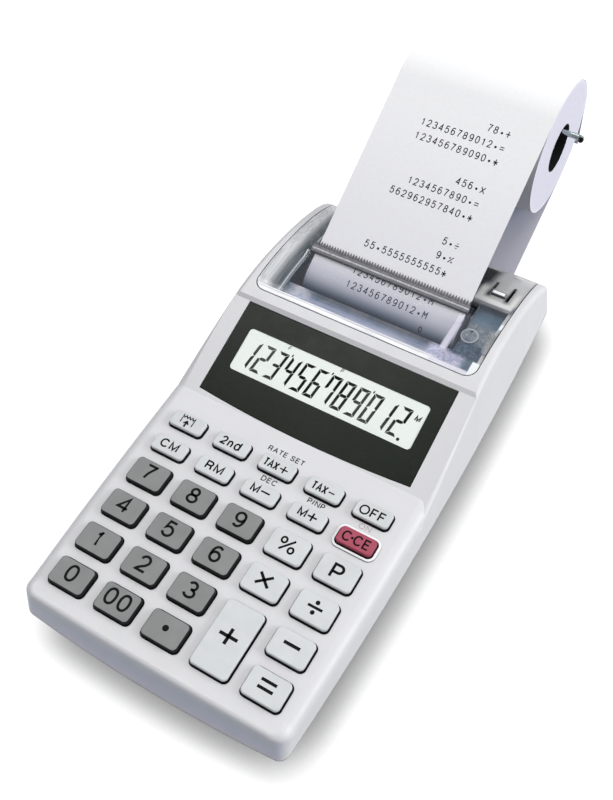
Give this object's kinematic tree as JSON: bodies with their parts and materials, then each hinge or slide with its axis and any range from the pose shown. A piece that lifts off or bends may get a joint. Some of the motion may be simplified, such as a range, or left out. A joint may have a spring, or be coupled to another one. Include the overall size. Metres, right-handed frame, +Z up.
{
  "type": "printing calculator",
  "caption": "Handheld printing calculator: keyboard, sloping display, clear-covered printer and a paper roll on a wire holder behind it.",
  "frame": {"origin": "on the surface that the calculator stands on, under the middle of its whole box, paper roll and tape included", "axes": "+X to the right of the keyboard, +Y from the keyboard to the paper roll, +Z up"},
  "size_m": [0.0992, 0.2512, 0.0772],
  "materials": {
    "case_plastic": "light grey moulded plastic, fine satin texture",
    "key_grey": "mid grey key plastic",
    "key_white": "off-white key plastic",
    "key_pink": "pink-red key plastic",
    "window": "glossy dark plate with a clear opening",
    "lcd": "pale liquid crystal panel",
    "rubber_mat": "grey silicone rubber",
    "board": "green circuit board",
    "clear_cover": "clear polystyrene",
    "cutter_metal": "dull steel",
    "frame_plastic": "dark blue-grey plastic",
    "steel": "plain steel",
    "roller_rubber": "black rubber",
    "gear_plastic": "natural acetal",
    "ink_felt": "ink-soaked felt, violet",
    "motor_can": "steel can",
    "paper": "white calculator paper",
    "wire": "bright steel wire",
    "cell": null,
    "jack_plastic": "black plastic"
  },
  "bodies": {
    "root": {"upper_case": "case_plastic", "lower_case": "case_plastic", "display_window": "window", "lcd_module": "lcd", "key_mat": "rubber_mat", "main_board": "board", "printer_frame": "frame_plastic", "platen": "frame_plastic", "motor": "motor_can", "batteries": "cell", "battery_contacts": "steel", "adaptor_jack": "jack_plastic", "case_screws": "steel", "rubber_feet": "roller_rubber", "paper_tape": "paper", "paper_web": "paper"},
    "cover": {"printer_cover": "clear_cover", "cutter": "cutter_metal"},
    "door": {"battery_door": "case_plastic"},
    "reduction": {"reduction_gear": "gear_plastic"},
    "pinion": {"motor_pinion": "gear_plastic"},
    "feed": {"feed_shaft": "steel", "feed_rollers": "roller_rubber", "feed_gear": "gear_plastic"},
    "printing": {"print_shaft": "steel", "print_gear": "gear_plastic"},
    "print_carriage": {"carriage": "frame_plastic"},
    "type_wheel": {"print_wheel": "gear_plastic"},
    "inker": {"ink_roller": "ink_felt"},
    "holder": {"paper_holder": "wire"},
    "roll": {"paper_roll": "paper"},
    "key_0": {"key_0": "key_grey"},
    "key_00": {"key_00": "key_grey"},
    "key_point": {"key_point": "key_grey"},
    "key_1": {"key_1": "key_grey"},
    "key_2": {"key_2": "key_grey"},
    "key_3": {"key_3": "key_grey"},
    "key_4": {"key_4": "key_grey"},
    "key_5": {"key_5": "key_grey"},
    "key_6": {"key_6": "key_grey"},
    "key_7": {"key_7": "key_grey"},
    "key_8": {"key_8": "key_grey"},
    "key_9": {"key_9": "key_grey"},
    "key_percent": {"key_percent": "key_white"},
    "key_p": {"key_p": "key_white"},
    "key_multiply": {"key_multiply": "key_white"},
    "key_divide": {"key_divide": "key_white"},
    "key_minus": {"key_minus": "key_white"},
    "key_equals": {"key_equals": "key_white"},
    "key_plus": {"key_plus": "key_white"},
    "key_feed": {"key_feed": "key_white"},
    "key_second": {"key_second": "key_white"},
    "key_tax_plus": {"key_tax_plus": "key_white"},
    "key_tax_minus": {"key_tax_minus": "key_white"},
    "key_off": {"key_off": "key_white"},
    "key_cm": {"key_cm": "key_white"},
    "key_rm": {"key_rm": "key_white"},
    "key_m_minus": {"key_m_minus": "key_white"},
    "key_m_plus": {"key_m_plus": "key_white"},
    "key_clear": {"key_clear": "key_pink"}
  },
  "joints": [
    {"name": "key_0_press", "type": "slide", "parent": "root", "child": "key_0", "axis": [0, 0, -1], "range_m": [0, 0.0011], "stiffness_N_per_m": 450, "springref_m": -0.0005},
    {"name": "key_00_press", "type": "slide", "parent": "root", "child": "key_00", "axis": [0, 0, -1], "range_m": [0, 0.0011], "stiffness_N_per_m": 450, "springref_m": -0.0005},
    {"name": "key_point_press", "type": "slide", "parent": "root", "child": "key_point", "axis": [0, 0, -1], "range_m": [0, 0.0011], "stiffness_N_per_m": 450, "springref_m": -0.0005},
    {"name": "key_1_press", "type": "slide", "parent": "root", "child": "key_1", "axis": [0, 0, -1], "range_m": [0, 0.0011], "stiffness_N_per_m": 450, "springref_m": -0.0005},
    {"name": "key_2_press", "type": "slide", "parent": "root", "child": "key_2", "axis": [0, 0, -1], "range_m": [0, 0.0011], "stiffness_N_per_m": 450, "springref_m": -0.0005},
    {"name": "key_3_press", "type": "slide", "parent": "root", "child": "key_3", "axis": [0, 0, -1], "range_m": [0, 0.0011], "stiffness_N_per_m": 450, "springref_m": -0.0005},
    {"name": "key_4_press", "type": "slide", "parent": "root", "child": "key_4", "axis": [0, 0, -1], "range_m": [0, 0.0011], "stiffness_N_per_m": 450, "springref_m": -0.0005},
    {"name": "key_5_press", "type": "slide", "parent": "root", "child": "key_5", "axis": [0, 0, -1], "range_m": [0, 0.0011], "stiffness_N_per_m": 450, "springref_m": -0.0005},
    {"name": "key_6_press", "type": "slide", "parent": "root", "child": "key_6", "axis": [0, 0, -1], "range_m": [0, 0.0011], "stiffness_N_per_m": 450, "springref_m": -0.0005},
    {"name": "key_7_press", "type": "slide", "parent": "root", "child": "key_7", "axis": [0, 0, -1], "range_m": [0, 0.0011], "stiffness_N_per_m": 450, "springref_m": -0.0005},
    {"name": "key_8_press", "type": "slide", "parent": "root", "child": "key_8", "axis": [0, 0, -1], "range_m": [0, 0.0011], "stiffness_N_per_m": 450, "springref_m": -0.0005},
    {"name": "key_9_press", "type": "slide", "parent": "root", "child": "key_9", "axis": [0, 0, -1], "range_m": [0, 0.0011], "stiffness_N_per_m": 450, "springref_m": -0.0005},
    {"name": "key_percent_press", "type": "slide", "parent": "root", "child": "key_percent", "axis": [0, 0, -1], "range_m": [0, 0.0011], "stiffness_N_per_m": 450, "springref_m": -0.0005},
    {"name": "key_p_press", "type": "slide", "parent": "root", "child": "key_p", "axis": [0, 0, -1], "range_m": [0, 0.0011], "stiffness_N_per_m": 450, "springref_m": -0.0005},
    {"name": "key_multiply_press", "type": "slide", "parent": "root", "child": "key_multiply", "axis": [0, 0, -1], "range_m": [0, 0.0011], "stiffness_N_per_m": 450, "springref_m": -0.0005},
    {"name": "key_divide_press", "type": "slide", "parent": "root", "child": "key_divide", "axis": [0, 0, -1], "range_m": [0, 0.0011], "stiffness_N_per_m": 450, "springref_m": -0.0005},
    {"name": "key_minus_press", "type": "slide", "parent": "root", "child": "key_minus", "axis": [0, 0, -1], "range_m": [0, 0.0011], "stiffness_N_per_m": 450, "springref_m": -0.0005},
    {"name": "key_equals_press", "type": "slide", "parent": "root", "child": "key_equals", "axis": [0, 0, -1], "range_m": [0, 0.0011], "stiffness_N_per_m": 450, "springref_m": -0.0005},
    {"name": "key_plus_press", "type": "slide", "parent": "root", "child": "key_plus", "axis": [0, 0, -1], "range_m": [0, 0.0011], "stiffness_N_per_m": 450, "springref_m": -0.0005},
    {"name": "key_feed_press", "type": "slide", "parent": "root", "child": "key_feed", "axis": [0, 0, -1], "range_m": [0, 0.0011], "stiffness_N_per_m": 450, "springref_m": -0.0005},
    {"name": "key_second_press", "type": "slide", "parent": "root", "child": "key_second", "axis": [0, 0, -1], "range_m": [0, 0.0011], "stiffness_N_per_m": 450, "springref_m": -0.0005},
    {"name": "key_tax_plus_press", "type": "slide", "parent": "root", "child": "key_tax_plus", "axis": [0, 0, -1], "range_m": [0, 0.0011], "stiffness_N_per_m": 450, "springref_m": -0.0005},
    {"name": "key_tax_minus_press", "type": "slide", "parent": "root", "child": "key_tax_minus", "axis": [0, 0, -1], "range_m": [0, 0.0011], "stiffness_N_per_m": 450, "springref_m": -0.0005},
    {"name": "key_off_press", "type": "slide", "parent": "root", "child": "key_off", "axis": [0, 0, -1], "range_m": [0, 0.0011], "stiffness_N_per_m": 450, "springref_m": -0.0005},
    {"name": "key_cm_press", "type": "slide", "parent": "root", "child": "key_cm", "axis": [0, 0, -1], "range_m": [0, 0.0011], "stiffness_N_per_m": 450, "springref_m": -0.0005},
    {"name": "key_rm_press", "type": "slide", "parent": "root", "child": "key_rm", "axis": [0, 0, -1], "range_m": [0, 0.0011], "stiffness_N_per_m": 450, "springref_m": -0.0005},
    {"name": "key_m_minus_press", "type": "slide", "parent": "root", "child": "key_m_minus", "axis": [0, 0, -1], "range_m": [0, 0.0011], "stiffness_N_per_m": 450, "springref_m": -0.0005},
    {"name": "key_m_plus_press", "type": "slide", "parent": "root", "child": "key_m_plus", "axis": [0, 0, -1], "range_m": [0, 0.0011], "stiffness_N_per_m": 450, "springref_m": -0.0005},
    {"name": "key_clear_press", "type": "slide", "parent": "root", "child": "key_clear", "axis": [0, 0, -1], "range_m": [0, 0.0011], "stiffness_N_per_m": 450, "springref_m": -0.0005},
    {"name": "cover_slide", "type": "slide", "parent": "root", "child": "cover", "axis": [0, 0.8704, 0.4924], "range_m": [0, 0.015]},
    {"name": "battery_door_open", "type": "hinge", "parent": "root", "child": "door", "pos_m": [0, -0.0398, 0.0021], "axis": [1, 0, 0], "range_deg": [0, 100]},
    {"name": "paper_holder_tilt", "type": "hinge", "parent": "root", "child": "holder", "pos_m": [-0.0326, 0.069, 0.013], "axis": [1, 0, 0], "range_deg": [0, 18], "deforming": ["paper_tape", "paper_web"]},
    {"name": "paper_roll_spin", "type": "hinge", "parent": "holder", "child": "roll", "pos_m": [0, 0.1, 0.053], "axis": [1, 0, 0], "continuous": true},
    {"name": "reduction_spin", "type": "hinge", "parent": "root", "child": "reduction", "pos_m": [0.0333, 0.0326, 0.0176], "axis": [1, 0, 0], "continuous": true},
    {"name": "motor_spin", "type": "hinge", "parent": "root", "child": "pinion", "pos_m": [0.0333, 0.046, 0.023], "axis": [1, 0, 0], "continuous": true},
    {"name": "feed_spin", "type": "hinge", "parent": "root", "child": "feed", "pos_m": [0, 0.0152, 0.0167], "axis": [1, 0, 0], "continuous": true},
    {"name": "print_spin", "type": "hinge", "parent": "root", "child": "printing", "pos_m": [0, 0.0104, 0.0267], "axis": [1, 0, 0], "continuous": true},
    {"name": "carriage_slide", "type": "slide", "parent": "root", "child": "print_carriage", "axis": [1, 0, 0], "range_m": [0, 0.047]},
    {"name": "print_wheel_spin", "type": "hinge", "parent": "print_carriage", "child": "type_wheel", "pos_m": [-0.0245, 0.0104, 0.0267], "axis": [1, 0, 0], "continuous": true},
    {"name": "ink_roller_spin", "type": "hinge", "parent": "print_carriage", "child": "inker", "pos_m": [-0.0245, 0.0035, 0.0291], "axis": [1, 0, 0], "continuous": true}
  ],
  "couplings": [
    {"joint": "motor_spin", "follows": "reduction_spin", "ratio": -3.8},
    {"joint": "feed_spin", "follows": "reduction_spin", "ratio": -1.9},
    {"joint": "print_spin", "follows": "reduction_spin", "ratio": 2.2353},
    {"joint": "print_wheel_spin", "follows": "reduction_spin", "ratio": 2.2353},
    {"joint": "ink_roller_spin", "follows": "reduction_spin", "ratio": -3.4771}
  ]
}
